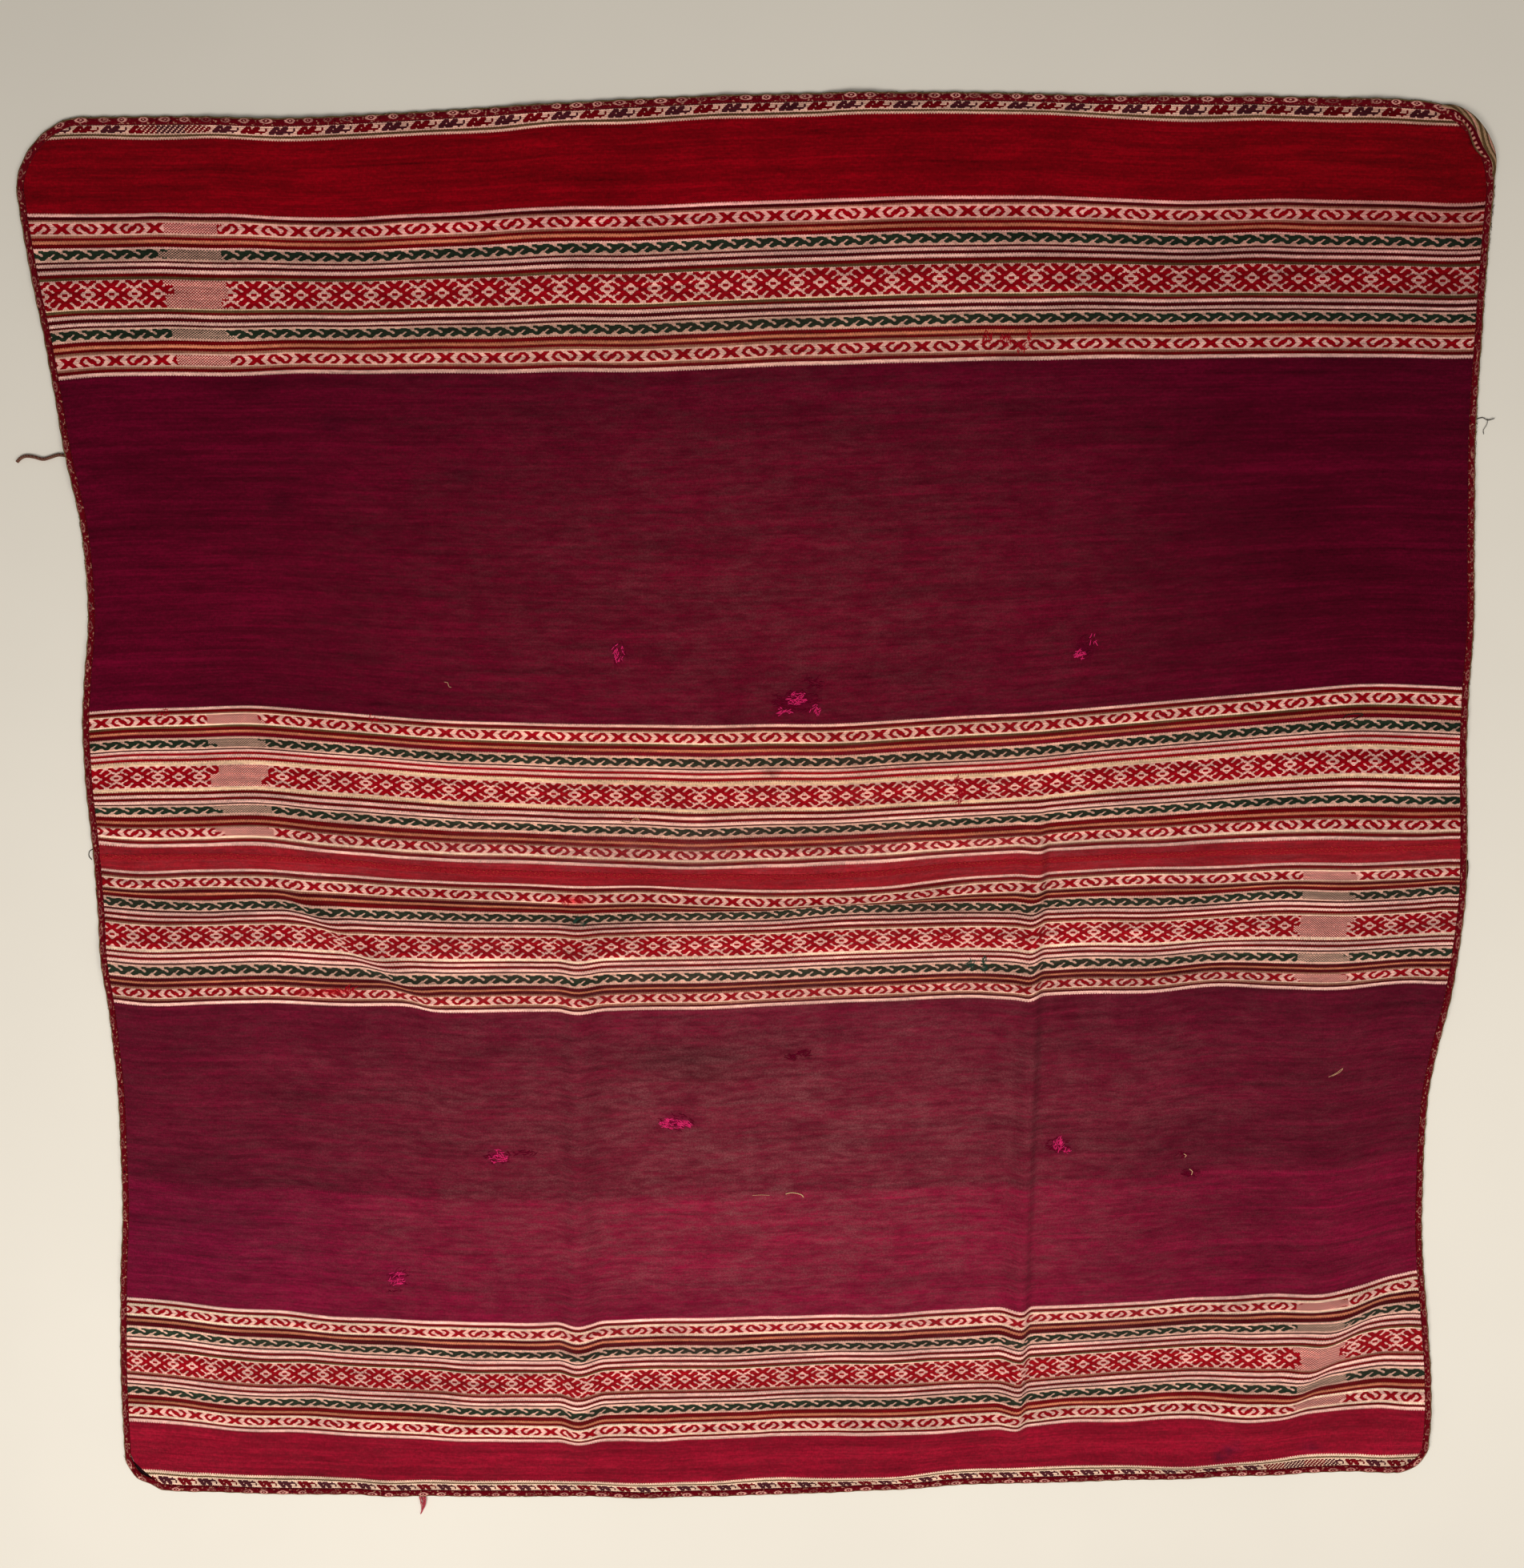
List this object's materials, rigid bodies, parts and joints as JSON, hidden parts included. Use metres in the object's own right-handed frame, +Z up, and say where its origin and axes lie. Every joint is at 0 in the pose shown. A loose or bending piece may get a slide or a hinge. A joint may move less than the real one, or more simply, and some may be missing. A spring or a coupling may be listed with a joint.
{
  "type": "aguayo carrying cloth",
  "caption": "Square hand-woven carrying cloth of two joined panels with a bound edge, lying flat with soft folds and a loose yarn end.",
  "frame": {"origin": "on the floor under the middle of the cloth, edge tuft and knot included, loose yarn left out", "axes": "+Z up; +X to the picture's right, along the warp and the stripes; +Y to the picture's top, towards the upper panel"},
  "size_m": [1.1153, 1.1321, 0.0111],
  "materials": {
    "wool_upper": "warp-faced wool weave, dark burgundy with striped pattern bands, matt",
    "wool_lower": "warp-faced wool weave, wine red with striped pattern bands, matt",
    "seam_yarn": "twisted red wool yarn, matt",
    "binding_yarn": "woven tubular edge binding, dark red with cream eyes and an olive rim",
    "tuft_yarn": "unspun pink-red wool lock, matt",
    "loose_yarn": "twisted olive and dark-red wool yarn, matt"
  },
  "bodies": {
    "root": {"panel_upper": "wool_upper", "panel_lower": "wool_lower", "join_seam": "seam_yarn", "edge_binding": "binding_yarn", "tuft_bottom": "tuft_yarn", "seam_knot": "seam_yarn", "loose_end_left": "loose_yarn"}
  },
  "joints": []
}
